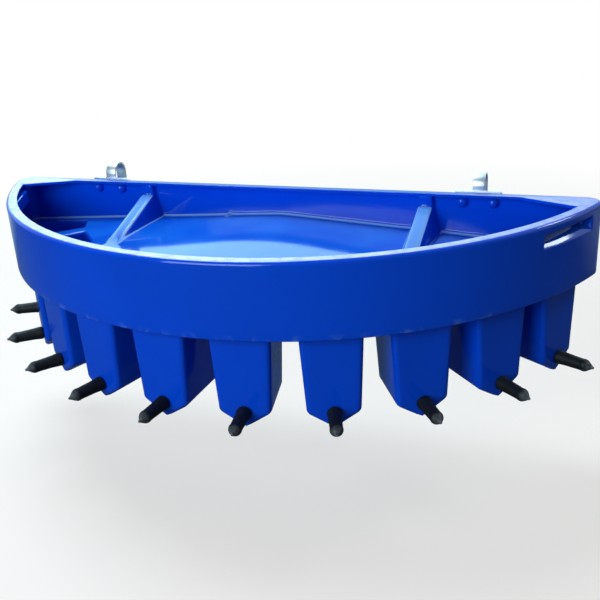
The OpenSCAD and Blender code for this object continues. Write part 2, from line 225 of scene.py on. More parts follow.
class FeederStageSettings(bpy.types.PropertyGroup):
    """Floor, light and camera."""

    drop: length("Floor Drop", "Drop from the tub's lowest point to the floor", 190)
    pale: colour("Floor", "Colour of the floor, warm enough to look white under a blue sky", "#ffe0d4")
    yaw: turn("Camera Yaw", "Turn of the camera from the tub's depth", -20.69)
    pitch: turn("Camera Pitch", "Tilt of the camera from level", -22.4)
    roll: turn("Camera Roll", "Roll of the camera", -3.39)
    lens: length("Lens", "Focal length on a 36 mm sensor", 49.84)


# Kinds of node that are used most
NOISE, RANGE, MIX = "ShaderNodeTexNoise", "ShaderNodeMapRange", "ShaderNodeMix"
MATH, VECTOR = "ShaderNodeMath", "ShaderNodeVectorMath"
JOINED, PARTED = "ShaderNodeCombineXYZ", "ShaderNodeSeparateXYZ"
BUMP, PRINCIPLED = "ShaderNodeBump", "ShaderNodeBsdfPrincipled"
MOVED, ROD = "GeometryNodeTransform", "GeometryNodeMeshCylinder"
CIRCLE, SWEPT = "GeometryNodeCurvePrimitiveCircle", "GeometryNodeCurveToMesh"
BOOLEAN = "GeometryNodeMeshBoolean"
# Most noise lies between these values.
SPAN = (0.3, 0.7)
WHITE = (1, 1, 1, 1)


def add_node(tree, kind, inputs=None, **settings):
    """Outputs of a new node. Its inputs are set, or linked to an output or to a list of outputs."""
    node = tree.nodes.new(kind)
    for name, value in settings.items():
        setattr(node, name, value)
    for key, value in (inputs or {}).items():
        for source in value if isinstance(value, list) else [value]:
            if isinstance(source, bpy.types.NodeSocket):
                tree.links.new(source, node.inputs[key])
            else:
                node.inputs[key].default_value = source
    return node.outputs


def per_size(millimetres):
    """Scale of a texture whose features have that size."""
    return 1 / (millimetres * MM)


def shade(rgb, factor=1.0):
    """A colour made lighter or darker, with full alpha."""
    return (*(min(1.0, c * factor) for c in rgb), 1.0)


def paint(hex_colour):
    """Linear colour of an sRGB hex value, with full alpha."""
    return shade(linear(hex_colour))


def material_of(finish, *settings):
    """The material of a finish, made on its first use."""
    name = finish.__name__
    if name in bpy.data.materials:
        return bpy.data.materials[name]
    material = bpy.data.materials.new(name)
    material.use_nodes = True
    material.node_tree.nodes.clear()
    add = partial(add_node, material.node_tree)
    where = add("ShaderNodeTexCoord")["Object"]
    add("ShaderNodeOutputMaterial", {"Surface": finish(add, where, *settings)})
    return material


def moulded_polyethylene(add, where, tub):
    """Rotomoulded polyethylene: even, saturated blue, glossy over a faint ripple and orange peel."""
    # Orange peel is about 2 mm across and is drawn at 5 mm to show.
    cloud, scuff, scratch, film, ripple, peel = (
        add(NOISE, {"Vector": where, "Scale": per_size(size), "Detail": detail})["Fac"]
        for size, detail in ((160, 2), (26, 4), (14, 4), (38, 3), (46, 1), (5, 2))
    )
    place = add(PARTED, {"Vector": where})
    height, depth = place["Z"], place["Y"]
    apart = add(VECTOR, {0: where}, operation="ABSOLUTE")["Vector"]
    aside = add(PARTED, {"Vector": apart})["X"]
    off_back = add(VECTOR, {0: apart, 1: (1, 8, 0)}, operation="DOT_PRODUCT")["Value"]
    facing = add("ShaderNodeNewGeometry")
    upward, slant = (add(PARTED, {"Vector": facing[name]})["Z"] for name in ("True Normal", "Normal"))
    edge = RIM_Z - SKIRT_H
    rib_side, rib_end = tub.rib_x + tub.rib_w / 2, BACK_Y - tub.rib_reach
    # Each row has a value, or the share that it starts from, the range in which it changes, and the
    # shares at the ends of that range.
    rows = {
        "cloud": (cloud, *SPAN, 0, 1),
        # The skirt's foot: pale scuffs that are also a painted highlight on its rounded edge
        "over edge": (height, edge - 1 * MM, edge, 0, 1),
        "near edge": (height, edge, edge + 11 * MM, 1, 0),
        "scuffs_and_edge_highlight": (scuff, 0.55, 0.7, 0, 0.55),
        "trimmed": (height, RIM_Z - 0.6 * MM, RIM_Z - 0.1 * MM, 0, 1),
        "scratches": (scratch, *SPAN, 0.48, 0.84),
        # This share fades the rim's paleness to the right: painted light from the left.
        "painted_left_light": (place["X"], 0.1, 0.5, 1, 0.6),
        "off back": (off_back, 0.6, 0.8, 0, 1),
        # Where the floor faces up: its share of painted sky light and sheen
        "level": (upward, 0.84, 0.94, 0, 1),
        "inside": (height, RIM_Z - 24 * MM, RIM_Z - 18 * MM, 1, 0),
        "painted_sky_sheen": ("cloud", *SPAN, 0.1, 0.2),
        "sloping": (slant, 0.6, 0.72, 0, 1),
        "off level": (slant, 0.94, 0.97, 1, 0),
        "ridge": (slant, 0.84, 0.9, 0, 1),
        "highlight_share": ("ridge", *SPAN, 0.5, 0.26),
        "by rib": (aside, rib_side + 5 * MM, rib_side + 13 * MM, 1, 0),
        "along rib": (depth, rib_end - 5 * MM, rib_end + 1 * MM, 0, 1),
        "by wall": (depth, BACK_Y - 24 * MM, BACK_Y - 17 * MM, 0, 1),
        "gloss": (film, *SPAN, 0.07, 0.11),
        "matt": ("trimmed", *SPAN, 0, 0.5),
    }
    share = {}
    for name, (value, *limits) in rows.items():
        value = share[value] if isinstance(value, str) else value
        share[name] = add(RANGE, dict(enumerate((value, *limits))))["Result"]
    # Places of the painted highlight: the ribs and the cove along the back wall
    on_rib = add(MATH, {0: share["by rib"], 1: share["along rib"]}, operation="MULTIPLY")["Value"]
    share["rubbed"] = add(MATH, {0: on_rib, 1: share["by wall"]}, operation="MAXIMUM")["Value"]
    coat, scraped_and_shaded, painted_highlight = (
        add(MIX, {0: share[name], 6: first, 7: second}, data_type="RGBA")[2]
        for name, first, second in (
            ("cloud", shade(tub.blue, 0.94), shade(tub.blue, 1.05)),
            # Scraped rim colour, painted a dull grey blue along the back as painted shade
            ("off back", paint("#3f5680"), paint("#f6eff2")),
            # Pale blues of the painted highlight on the ribs and the cove
            ("ridge", paint("#c2e4ff"), paint("#b5eef8")),
        )
    )
    layers = [
        # Handling has left a few pale scuffs along the skirt's bottom edge; the same paler colour also stands
        # there as a painted highlight on the rounded edge.
        (("over edge", "near edge", "scuffs_and_edge_highlight"), paint("#5f86d6")),
        # The flat rim was trimmed after moulding, which left it scraped and paler. That paleness is painted to
        # fade towards the right, as painted light from the left, and along the back the rim is painted a dull grey
        # blue, as painted shade.
        (("trimmed", "scratches", "painted_left_light"), scraped_and_shaded),
        # Where the tub's floor faces up it is painted paler and cyan: painted sky light and sheen.
        (("level", "inside", "painted_sky_sheen"), paint("#3fb4f5")),
        # The ribs' ridges, and the line where the floor meets the back wall, are painted paler still: a painted
        # highlight.
        (("sloping", "off level", "highlight_share", "rubbed", "inside"), painted_highlight),
    ]
    for (first, *others), colour_on_top in layers:
        cover = share[first]
        for name in others:
            cover = add(MATH, {0: cover, 1: share[name]}, operation="MULTIPLY")["Value"]
        coat = add(MIX, {0: cover, 6: coat, 7: colour_on_top}, data_type="RGBA")[2]
    relief = {"Strength": 0.22, "Distance": 0.6 * MM, "Height": ripple}
    rippled = add(BUMP, relief)["Normal"]
    relief = {"Strength": 0.1, "Distance": 0.12 * MM, "Height": peel, "Normal": rippled}
    looks = {
        "Base Color": coat,
        "Roughness": add(MATH, {0: share["gloss"], 1: share["matt"]}, operation="MAXIMUM")["Value"],
        "Normal": add(BUMP, relief)["Normal"],
        "IOR": 1.51,
        "Specular IOR Level": 0.35,
    }
    return add(PRINCIPLED, looks)["BSDF"]


def moulded_rubber(add, where, teat):
    """Moulded natural rubber: matt black, with a grey, smooth tip where the lambs suck; the tip's grey is worn and
    also a painted highlight.
    """
    along = add("ShaderNodeAttribute", attribute_name="along")["Fac"]
    patch, dust, sheen, grain = (
        add(NOISE, {"Vector": where, "Scale": per_size(size), "Detail": detail})["Fac"]
        for size, detail in ((5, 3), (9, 4), (7, 3), (1.6, 3))
    )
    tip, patchy, dusty, rough = (
        add(RANGE, dict(enumerate(row)))["Result"]
        for row in (
            (along, 0.8, 0.97, 0, 1),
            (patch, *SPAN, 0.25, 1),
            (dust, *SPAN, 0, 0.06),
            (sheen, *SPAN, 0.46, 0.66),
        )
    )
    # The tip is worn grey, and that grey is also a painted highlight.
    rubbed = add(MATH, {0: tip, 1: patchy}, operation="MULTIPLY")["Value"]
    coat = shade(teat.black)
    for cover, colour_on_top in ((dusty, paint("#4a4b50")), (rubbed, shade(teat.worn_and_sheen))):
        coat = add(MIX, {0: cover, 6: coat, 7: colour_on_top}, data_type="RGBA")[2]
    relief = {"Strength": 0.25, "Distance": 0.15 * MM, "Height": grain}
    looks = {
        "Base Color": coat,
        "Roughness": rough,
        "Normal": add(BUMP, relief)["Normal"],
        "IOR": 1.52,
        "Specular IOR Level": 0.3,
    }
    return add(PRINCIPLED, looks)["BSDF"]


def galvanised_steel(add, where, hook):
    """Hot-dip galvanised steel: bright grey zinc with soft spangle and dull patches."""
    cells = {"Vector": where, "Scale": per_size(7), "Randomness": 1.0}
    spangle = add("ShaderNodeTexVoronoi", cells)["Color"]
    tone = add("ShaderNodeRGBToBW", {"Color": spangle})["Val"]
    flakes, rough = (
        add(RANGE, dict(enumerate(row)))["Result"] for row in ((tone, 0, 1, 0, 1), (tone, 0, 1, 0.3, 0.46))
    )
    zinc = {0: flakes, 6: shade(hook.zinc, 0.8), 7: shade(hook.zinc, 1.12)}
    grain = add(NOISE, {"Vector": where, "Scale": per_size(4), "Detail": 3})["Fac"]
    relief = {"Strength": 0.2, "Distance": 0.15 * MM, "Height": grain}
    looks = {
        "Base Color": add(MIX, zinc, data_type="RGBA")[2],
        "Roughness": rough,
        "Normal": add(BUMP, relief)["Normal"],
        "Metallic": 0.85,
    }
    return add(PRINCIPLED, looks)["BSDF"]


def bright_zinc(add, where):
    """Bright zinc plate on turned and forged steel: cool, smooth, with faint stains."""
    stain, haze = (
        add(NOISE, {"Vector": where, "Scale": per_size(size), "Detail": detail})["Fac"]
        for size, detail in ((6, 3), (3, 2))
    )
    stained, rough = (
        add(RANGE, dict(enumerate(row)))["Result"]
        for row in ((stain, *SPAN, 0, 1), (haze, *SPAN, 0.22, 0.36))
    )
    plate = {0: stained, 6: paint("#b9bdc2"), 7: paint("#dfe2e4")}
    looks = {
        "Base Color": add(MIX, plate, data_type="RGBA")[2],
        "Roughness": rough,
        "Metallic": 1.0,
    }
    return add(PRINCIPLED, looks)["BSDF"]


def turned_brass(add, where):
    """Turned brass: warm metal with fine rings, drawn at 0.8 mm to show."""
    wave = {"Vector": where, "Scale": per_size(0.8) / 20, "Distortion": 0.4}
    bands = {"wave_type": "BANDS", "bands_direction": "Y"}
    rings = add("ShaderNodeTexWave", wave, **bands)["Fac"]
    metal = {0: rings, 6: paint("#a8862f"), 7: paint("#c9a755")}
    looks = {
        "Base Color": add(MIX, metal, data_type="RGBA")[2],
        "Roughness": add(RANGE, {0: rings, 3: 0.25, 4: 0.38})["Result"],
        "Metallic": 1.0,
    }
    return add(PRINCIPLED, looks)["BSDF"]


def linked(name, data):
    """A new object in the scene, at the origin."""
    obj = bpy.data.objects.new(name, data)
    bpy.context.scene.collection.objects.link(obj)
    return obj


def mesh_object(name, points, faces, material, sharp_angle):
    """A smooth mesh object at the origin, with merged points and faces that point outwards."""
    mesh = bpy.data.meshes.new(name)
    mesh.from_pydata([tuple(p) for p in points], [], faces)
    bm = bmesh.new()
    bm.from_mesh(mesh)
    bmesh.ops.remove_doubles(bm, verts=bm.verts, dist=MERGE)
    bmesh.ops.dissolve_degenerate(bm, edges=bm.edges, dist=MERGE / 2)
    bmesh.ops.recalc_face_normals(bm, faces=bm.faces)
    bm.to_mesh(mesh)
    bm.free()
    return dressed(name, mesh, material, sharp_angle)


def dressed(name, mesh, material, sharp_angle):
    """An object for a finished mesh, with its material and smooth shading."""
    mesh.materials.clear()
    mesh.materials.append(material)
    mesh.polygons.foreach_set("material_index", [0] * len(mesh.polygons))
    mesh.shade_smooth()
    mesh.set_sharp_from_angle(angle=sharp_angle)
    return linked(name, mesh)


def part_of_tub(piece, slot, *nodes):
    """Puts a piece on the tub's body in place of its nodes."""
    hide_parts(*nodes)
    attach(piece, TUB_BODY)


def front_point(radius, angle):
    """Point on a circle about the front arc's centre, turned from the middle of the front."""
    return Vector((radius * math.sin(angle), ARC_Y - radius * math.cos(angle)))


def between(first, last, count):
    """Evenly spaced values, both ends included."""
    return [first + (last - first) * i / (count - 1) for i in range(count)]


def quarter(count):
    """Evenly spaced angles of a quarter turn."""
    return between(0, math.pi / 2, count)


def raised(p, z):
    """A plan point lifted to a height."""
    return Vector((p.x, p.y, z))


def ease(share):
    """Smooth step from 0 to 1."""
    share = min(1.0, max(0.0, share))
    return share * share * (3 - 2 * share)


# One place on the tub's outline: the point, the way inwards, the rim's inner edge and the depth of a
# hand-hold there
Station = namedtuple("Station", "point inward rim_edge recess")


def grip_end(tub):
    """Turn at which a hand-hold ends."""
    return tub.grip_from + tub.grip_length / FRONT_R


def grip_depth(tub, angle):
    """Depth of a hand-hold at a turn, on the straight line between its two ends."""
    start = front_point(FRONT_R - tub.grip_start, tub.grip_from)
    run = front_point(FRONT_R - tub.grip_depth, grip_end(tub)) - start
    ray = Vector((math.sin(angle), -math.cos(angle)))
    start -= Vector((0, ARC_Y))
    return FRONT_R - start.cross(run) / ray.cross(run)


def front_stations(tub):
    """Turns and hand-hold depths along the front arc, from its middle to the right corner."""
    grip_from, grip_to = tub.grip_from, grip_end(tub)
    # Both ends of a hand-hold stand square, with their edges rounded.
    steps = [(-3, 0), (-1.6, 0.015), (-0.6, 0.06), (-0.2, 0.16)]
    steps += [(0, 0.84), (0.5, 0.94), (1.4, 0.985), (3, 1)]
    reach = 4 * MM / FRONT_R
    plain = [(angle, 0.0) for angle in between(0, grip_from - reach, FRONT_STEPS)]
    opening = [(grip_from + s * MM / FRONT_R, tub.grip_start * share) for s, share in steps]
    turns = between(grip_from + reach, grip_to - reach, GRIP_STEPS)
    sloping = [(angle, grip_depth(tub, angle)) for angle in turns]
    closing = [(grip_to - s * MM / FRONT_R, tub.grip_depth * share) for s, share in reversed(steps)]
    rest = [(angle, 0.0) for angle in between(grip_to + reach, CORNER_TURN, END_STEPS)]
    return plain + opening + sloping + closing + rest


def outline(tub):
    """Stations round the tub's right half, from the middle of the front to the middle of the back."""
    places = [
        (front_point(FRONT_R, angle), Vector((-math.sin(angle), math.cos(angle))), recess)
        for angle, recess in front_stations(tub)
    ]
    hub = Vector((CORNER_X, BACK_Y - CORNER_R))
    for angle in between(CORNER_TURN, math.pi, CORNER_STEPS)[1:]:
        outwards = Vector((math.sin(angle), -math.cos(angle)))
        places.append((hub + CORNER_R * outwards, -outwards, 0.0))
    wide = between(CORNER_X, tub.widen_x, WIDE_STEPS)[1:]
    back = between(tub.widen_x, 0, BACK_STEPS)[1:]
    # A rib and the pip have closer stations of their own.
    gap, rib_side = 4 * MM, 16 * MM
    own = [
        (tub.rib_x, tub.rib_w / 2 + rib_side, RIB_STEPS),
        (abs(tub.pip_x), 2 * tub.pip_r, PIP_STEPS),
    ]
    steps = [x for x in wide + back if all(abs(x - middle) > half + gap for middle, half, _ in own)]
    for middle, half, count in own:
        steps += between(middle + half, middle - half, count)
    for x in sorted(steps, reverse=True):
        places.append((Vector((x, BACK_Y)), Vector((0, -1)), 0.0))
    return rim_edges(tub, places)


def rim_edges(tub, places):
    """Adds the rim's inner edge, which cuts straight across the corner where the rim widens."""
    reach_turn = math.atan2(tub.widen_reach, FRONT_C + tub.widen_depth)
    first = front_point(FRONT_R - tub.rim, reach_turn)
    last = Vector((tub.widen_x, BACK_Y - tub.rim))
    along = [0.0]
    for (a, _, _), (b, _, _) in zip(places, places[1:]):
        along.append(along[-1] + (b - a).length)
    start = reach_turn * FRONT_R
    stop = next(s for s, p in zip(along, places) if p[0].y == BACK_Y and p[0].x <= tub.widen_x)
    stations = []
    for s, (point, inward, recess) in zip(along, places):
        share = (s - start) / (stop - start)
        edge = point + inward * tub.rim if not 0 < share < 1 else first.lerp(last, share)
        stations.append(Station(point, inward, edge, recess))
    return stations


def mirrored(station):
    """The same station on the left."""
    flip = Vector((-1, 1))
    return Station(*(vector * flip for vector in station[:3]), station.recess)


def recess_rows(bottom, top):
    """Heights up through a hand-hold, each with its share of the depth and the most that it goes in."""
    sill = [(-3, 0), (-1.8, 0.4), (-0.8, 1.3), (0.3, 2.6)]
    sill += [(1.4, 3.9), (2.5, 5.2), (3.6, 6.5), (4.4, 7.5)]
    ledge = [(4.6, 0.95), (5.2, 0.985), (7, 1)]
    roof = [(3.5, 1), (1.5, 0.985), (0.4, 0.93), (0.05, 0.82)]
    roof += [(0, 0.17), (-0.3, 0.07), (-1.2, 0.02), (-3, 0)]
    rows = [(bottom + step * MM, 1, reach * MM) for step, reach in sill]
    rows += [(bottom + step * MM, share, FRONT_R) for step, share in ledge]
    return rows + [(top - step * MM, share, FRONT_R) for step, share in roof]


def shell_column(tub, station):
    """Points of the skirt's section at a station: up the outside, over the rim and down the inside."""
    column = []

    def place(inset, height, share=0.0, most=FRONT_R):
        p = station.point + station.inward * (inset + min(station.recess * share, most))
        column.append(raised(p, RIM_Z + height))

    foot, edge, wall = tub.foot_edge, tub.rim_edge, tub.wall
    clear, fillet = 4 * MM, 4 * MM
    ledge = -tub.grip_top - tub.grip_height
    for angle in quarter(5):
        place(foot * (1 - math.sin(angle)), -SKIRT_H + foot * (1 - math.cos(angle)))
    for height in between(-SKIRT_H + foot, ledge - clear, 7)[1:]:
        place(0, height)
    for height, share, most in recess_rows(ledge, -tub.grip_top):
        place(0, height, share, most)
    for angle in quarter(9):
        place(edge * (1 - math.cos(angle)), -edge * (1 - math.sin(angle)))
    start = column[-1].copy()
    rim_edge = raised(station.rim_edge, RIM_Z)
    back = (start - rim_edge).normalized()
    for share in (0.3, 0.6, 0.85):
        column.append(start.lerp(rim_edge, share))
    for angle in quarter(4):
        inset = back * tub.inner_edge * (1 - math.sin(angle))
        column.append(rim_edge + inset - Vector((0, 0, tub.inner_edge * (1 - math.cos(angle)))))
    under = Vector((0, 0, -tub.rim_t))
    column.append(rim_edge + under)
    root = station.point + station.inward * (wall + fillet)
    column.append((rim_edge + under).lerp(raised(root, RIM_Z - tub.rim_t), 0.5))
    for angle in quarter(4):
        place(wall + fillet * (1 - math.sin(angle)), -tub.rim_t - fillet * (1 - math.cos(angle)))
    inside = recess_rows(ledge - wall, -tub.grip_top + wall / 2)
    for height, share, most in reversed(inside):
        place(wall, height, share, most)
    for height in between(ledge - wall - clear, -SKIRT_H + foot, 6):
        place(wall, height)
    for angle in quarter(5)[1:]:
        place(wall - foot * (1 - math.cos(angle)), -SKIRT_H + foot * (1 - math.sin(angle)))
    return column


def swept(rings, start=0):
    """Points of closed rings, numbered from a start, and the quads between neighbouring rings."""
    count = len(rings[0])
    faces = []
    for i in range(len(rings) - 1):
        low, high = start + i * count, start + (i + 1) * count
        for j in range(count):
            k = (j + 1) % count
            faces.append((low + j, low + k, high + k, high + j))
    return [p for ring in rings for p in ring], faces


class FEEDER_OT_shell(bpy.types.Operator):
    """Makes the skirt, rim, back wall and hand-holds as one swept moulding"""

    bl_idname = "feeder.shell"
    bl_label = "Skirt and Rim"

    def execute(self, context):
        tub = context.scene.feeder_tub
        right = outline(tub)
        stations = right + [mirrored(s) for s in reversed(right[1:-1])]
        columns = [shell_column(tub, s) for s in stations]
        columns.append(columns[0])
        points, faces = swept(columns)
        material = material_of(moulded_polyethylene, tub)
        piece = mesh_object("tub_shell", points, faces, material, CRISP)
        part_of_tub(piece, "polyethylene", *SHELL_NODES)
        return {"FINISHED"}


def cone_height(tub, p):
    """Height of the floor's half cone, counted from the rim. Its peak is at the back."""
    return -tub.peak - math.tan(tub.fall) * math.hypot(p.x, BACK_Y - p.y)


def rib_height(tub, p, inset):
    """Height of a rib's falling ridge below the rim, or of the hollow that an inset leaves under it."""
    end = -tub.peak - math.tan(tub.fall) * math.hypot(tub.rib_x, tub.rib_reach)
    fall = (end + tub.rib_top) / (tub.rib_reach - tub.rib_stand)
    ridge = -tub.rib_top - inset + fall * (BACK_Y - p.y - tub.rib_stand)
    # The ridge is flat, and its sides fall steeply past a rounded shoulder.
    shoulder, steepness = 2 * MM, 4
    past = abs(abs(p.x) - tub.rib_x) - tub.rib_w / 2 + inset
    return ridge - steepness * (past + math.hypot(past, shoulder)) / 2


def upright_height(tub, p):
    """Height of a rib's upright end, which stands against the back wall and meets the rim."""
    front = BACK_Y - p.y - tub.rib_stand
    spread_share, edge, steepness, lean = 0.25, 4 * MM, 14, 1.4 * MM
    side = abs(abs(p.x) - tub.rib_x) - tub.rib_w / 2 + spread_share * front
    past = (side + front + math.hypot(side - front, edge)) / 2
    return -tub.rim_t - steepness * max(0.0, past + lean)


def floor_height(tub, p):
    """Height of the floor, with two ribs that rise to the rim and a moulded pip by the back wall."""
    cone = cone_height(tub, p)
    foot = 7 * MM
    rib = max(rib_height(tub, p, 0), upright_height(tub, p))
    away = math.hypot(p.x - tub.pip_x, BACK_Y - p.y - tub.wall - tub.cove) / tub.pip_r
    pip = tub.pip_h * math.exp(-away * away)
    return RIM_Z + (cone + rib + math.hypot(cone - rib, foot)) / 2 + pip


def under_height(tub, well, p):
    """Height of the underside, with a hollow under each rib."""
    sheet = cone_height(tub, p) - well.wall
    if BACK_Y - p.y < tub.wall + well.wall:
        return RIM_Z + sheet
    return RIM_Z + max(sheet, rib_height(tub, p, well.wall))


def inset_loop(tub, inset):
    """Plan points of the tub's outline, drawn in by an inset, all the way round."""
    right = [s for s in outline(tub) if s.recess == 0]
    half = [s.point + s.inward * inset for s in right]
    return half + [Vector((-p.x, p.y)) for p in reversed(half[1:-1])]


def well_hubs(well, share):
    """Centres of a well's four rounded edges at a share of its depth, in its own frame."""
    edge = well.edge
    outer = (well.wide * (1 - share) + well.low * share) / 2 - edge
    inner = outer - (well.wide - well.inner) / 2
    end = well.deep - well.draft * share - edge
    return [(-outer, edge), (outer, edge), (inner, end), (-inner, end)]


def at_station(well, angle, x, y):
    """Point of a well's frame, which has its outer face at y = 0, in the tub's plan."""
    radius = HINGE_R + well.wall / 2 - y
    return Vector(
        (
            x * math.cos(angle) + radius * math.sin(angle),
            ARC_Y + x * math.sin(angle) - radius * math.cos(angle),
        )
    )


def in_station(well, angle, p):
    """Point of the tub's plan in a well's frame."""
    q = Vector((p.x, p.y - ARC_Y))
    x = q.x * math.cos(angle) + q.y * math.sin(angle)
    radius = q.x * math.sin(angle) - q.y * math.cos(angle)
    return Vector((x, HINGE_R + well.wall / 2 - radius))


def behind(points, limit):
    """A convex outline cut off where it passes a limit towards the gate."""
    kept = []
    for a, b in zip(points, points[1:] + points[:1]):
        if a.y <= limit:
            kept.append(a)
        if (a.y <= limit) != (b.y <= limit):
            kept.append(a.lerp(b, (limit - a.y) / (b.y - a.y)))
    return kept


def rounded_ring(hubs, radius, arc_steps=6, edge_steps=8):
    """Outline round a convex set of hubs, with an arc at each hub and points along each edge."""
    count = len(hubs)
    normals = []
    for a, b in zip(hubs, hubs[1:] + hubs[:1]):
        along = (b - a).normalized()
        normals.append(Vector((along.y, -along.x)))
    ring = []
    for i in range(count):
        before, after = normals[i - 1], normals[i]
        sweep = before.angle_signed(after)
        for step in range(arc_steps + 1):
            spun = before.copy()
            spun.rotate(Matrix.Rotation(-sweep * step / arc_steps, 2))
            ring.append(hubs[i] + radius * spun)
        start, stop = hubs[i] + radius * after, hubs[(i + 1) % count] + radius * after
        ring += [start.lerp(stop, step / edge_steps) for step in range(1, edge_steps)]
    return ring


def well_section(tub, well, angle, share, radius):
    """Plan of a well at a share of its depth. The end wells are flat against the back wall."""
    hubs = [at_station(well, angle, x, y) for x, y in well_hubs(well, share)]
    gap, eased_by = 2 * MM, 0.25
    near = tub.wall + tub.cove + well.wall + well.lip + gap
    far = tub.wall + 2 * well.wall
    limit = BACK_Y - near - (far - near) * ease(share / eased_by)
    top = max(p.y for p in hubs)
    if angle in (TURNS[0], TURNS[-1]):
        hubs = behind(hubs, min(limit, top - gap))
    return rounded_ring(hubs, radius)


def keel_height(well, q, radius):
    """Heights of a well's bottom, and of the centres of its rounded edges, at a point of its frame."""
    edge = well.edge
    share = (q.y - edge) / (well.deep - well.draft - 2 * edge)
    half = well.low / 2 - edge - (well.wide - well.inner) / 2 * share
    keel = edge - well.keel + well.rise * share
    side = edge - well.corner
    slope = (side - keel) / half
    lean = math.hypot(1, slope)
    round_off = radius * (lean - 1) / slope
    bottom = keel - radius * lean + slope * math.hypot(q.x, round_off)
    return bottom, keel + slope * min(abs(q.x), half)


# One side of the floor's skin: rounding of the wells' edges and lips, and the height at a plan point
Side = namedtuple("Side", "edge lip height")


def well_rings(tub, well, angle, side):
    """Rings of one side of a well, from the floor over its lip, down its walls and in to its keel."""

    def plan(share, radius):
        return well_section(tub, well, angle, share, radius)

    def keel_at(p):
        return keel_height(well, in_station(well, angle, p), side.edge)

    rings = []
    for step in quarter(6):
        drop = side.lip * (1 - math.cos(step))
        flat = plan(0, side.edge + side.lip * (1 - math.sin(step)))
        rings.append([raised(p, side.height(p) - drop) for p in flat])
    mouth = rings[-1]
    for share in between(0, 1, WALL_STEPS)[1:]:
        ring = []
        for p, top in zip(plan(share, side.edge), mouth):
            low = RIM_Z + keel_at(p)[1]
            ring.append(raised(p, top.z + (low - top.z) * share))
        rings.append(ring)
    feet = [keel_at(p) for p in rings[-1]]
    least = 0.15
    for step in quarter(6)[1:]:
        ring = []
        for p, (bottom, hub) in zip(plan(1, side.edge * max(least, math.cos(step))), feet):
            lift = (hub - bottom) * (1 - math.sin(step))
            ring.append(raised(p, RIM_Z + keel_at(p)[0] + lift))
        rings.append(ring)
    last = [in_station(well, angle, p) for p in rings[-1]]
    for share in KEEL_SHARES:
        ring = []
        for q in last:
            drawn = Vector((q.x * share, q.y + (well.deep / 2 - q.y) * (1 - share) / 6))
            p = at_station(well, angle, drawn.x, drawn.y)
            ring.append(raised(p, RIM_Z + keel_height(well, drawn, side.edge)[0]))
        rings.append(ring)
    return rings


def open_floor(tub, well, p):
    """Whether a plan point lies on the floor, clear of its edges and of the wells."""
    margin = 6 * MM
    inset = tub.wall + tub.cove + margin
    if BACK_Y - p.y < inset or math.hypot(p.x, p.y - ARC_Y) > FRONT_R - inset:
        return False
    if abs(p.x) > CORNER_X - margin:
        return False
    clear = well.lip + margin
    for angle in TURNS:
        q = in_station(well, angle, p)
        if abs(q.x) < well.wide / 2 + clear and q.y < well.deep + clear:
            return False
    return True


def floor_points(tub, well):
    """Plan points inside the floor: an even spread, with close rows on the ribs and round the pip."""
    pitch, rib_side, rib_past = 15 * MM, 40 * MM, 20 * MM
    points = []
    rows = int(FRONT_R / pitch)
    for i in range(-rows, rows + 1):
        for j in range(1, rows):
            p = Vector((i * pitch + (j % 2) * pitch / 2, BACK_Y - j * pitch))
            beside = abs(abs(p.x) - tub.rib_x) < rib_side
            near_rib = beside and BACK_Y - p.y < tub.rib_reach + rib_past
            if not near_rib and open_floor(tub, well, p):
                points.append(p)
    inset = tub.wall + tub.cove
    first = inset + 1.5 * MM
    stand, half = tub.rib_stand, 36 * MM
    # Rows along a rib: by the wall, over the edge of its upright end, and down its ridge
    rows = [first] + between(stand - 2.4 * MM, stand + 0.8 * MM, 9)
    rows += between(stand + 3 * MM, tub.rib_reach + 14 * MM, 32)
    for side in (-1, 1):
        for step in between(-half, half, 49):
            for reach in rows:
                p = Vector((side * tub.rib_x + step, BACK_Y - reach))
                if open_floor(tub, well, p) or reach < inset + 7 * MM:
                    points.append(p)
    pip_half = 2 * tub.pip_r
    for step in between(-pip_half, pip_half, PIP_STEPS):
        for reach in between(first, inset + pip_half, 6):
            points.append(Vector((tub.pip_x + step, BACK_Y - reach)))
    return points


def floor_side(tub, well, side, edge):
    """Points and faces of one side: the ten wells, and the floor between them and an edge loop."""
    points, faces = [], []
    loops = [edge]
    for angle in TURNS:
        rings = well_rings(tub, well, angle, side)
        more, quads = swept(rings, len(points))
        points += more
        faces += quads
        count = len(rings[0])
        last, middle = len(points) - count, len(points)
        points.append(sum(rings[-1], Vector()) / count)
        faces += [(last + j, last + (j + 1) % count, middle) for j in range(count)]
        loops.append([p.to_2d() for p in rings[0]])
    flat, triangles = floor_triangles(loops, floor_points(tub, well))
    start = len(points)
    points += [raised(p, side.height(p)) for p in flat]
    faces += [tuple(start + i for i in triangle) for triangle in triangles]
    return points, faces


def floor_triangles(loops, inner_points):
    """Triangles inside the first loop and outside the others, which are convex."""
    plan, bounds, owners = [], [], []
    for number, loop in enumerate(loops):
        start = len(plan)
        plan += loop
        owners += [number] * len(loop)
        bounds += [(start + i, start + (i + 1) % len(loop)) for i in range(len(loop))]
    plan += inner_points
    owners += [0] * len(inner_points)
    inside_bounds, tolerance = 1, 1e-6
    flat, _, triangles, sources, _, _ = delaunay_2d_cdt(plan, bounds, [], inside_bounds, tolerance)
    loop_of = [owners[source[0]] for source in sources]
    kept = [t for t in triangles if loop_of[t[0]] == 0 or len({loop_of[i] for i in t}) > 1]
    return flat, kept


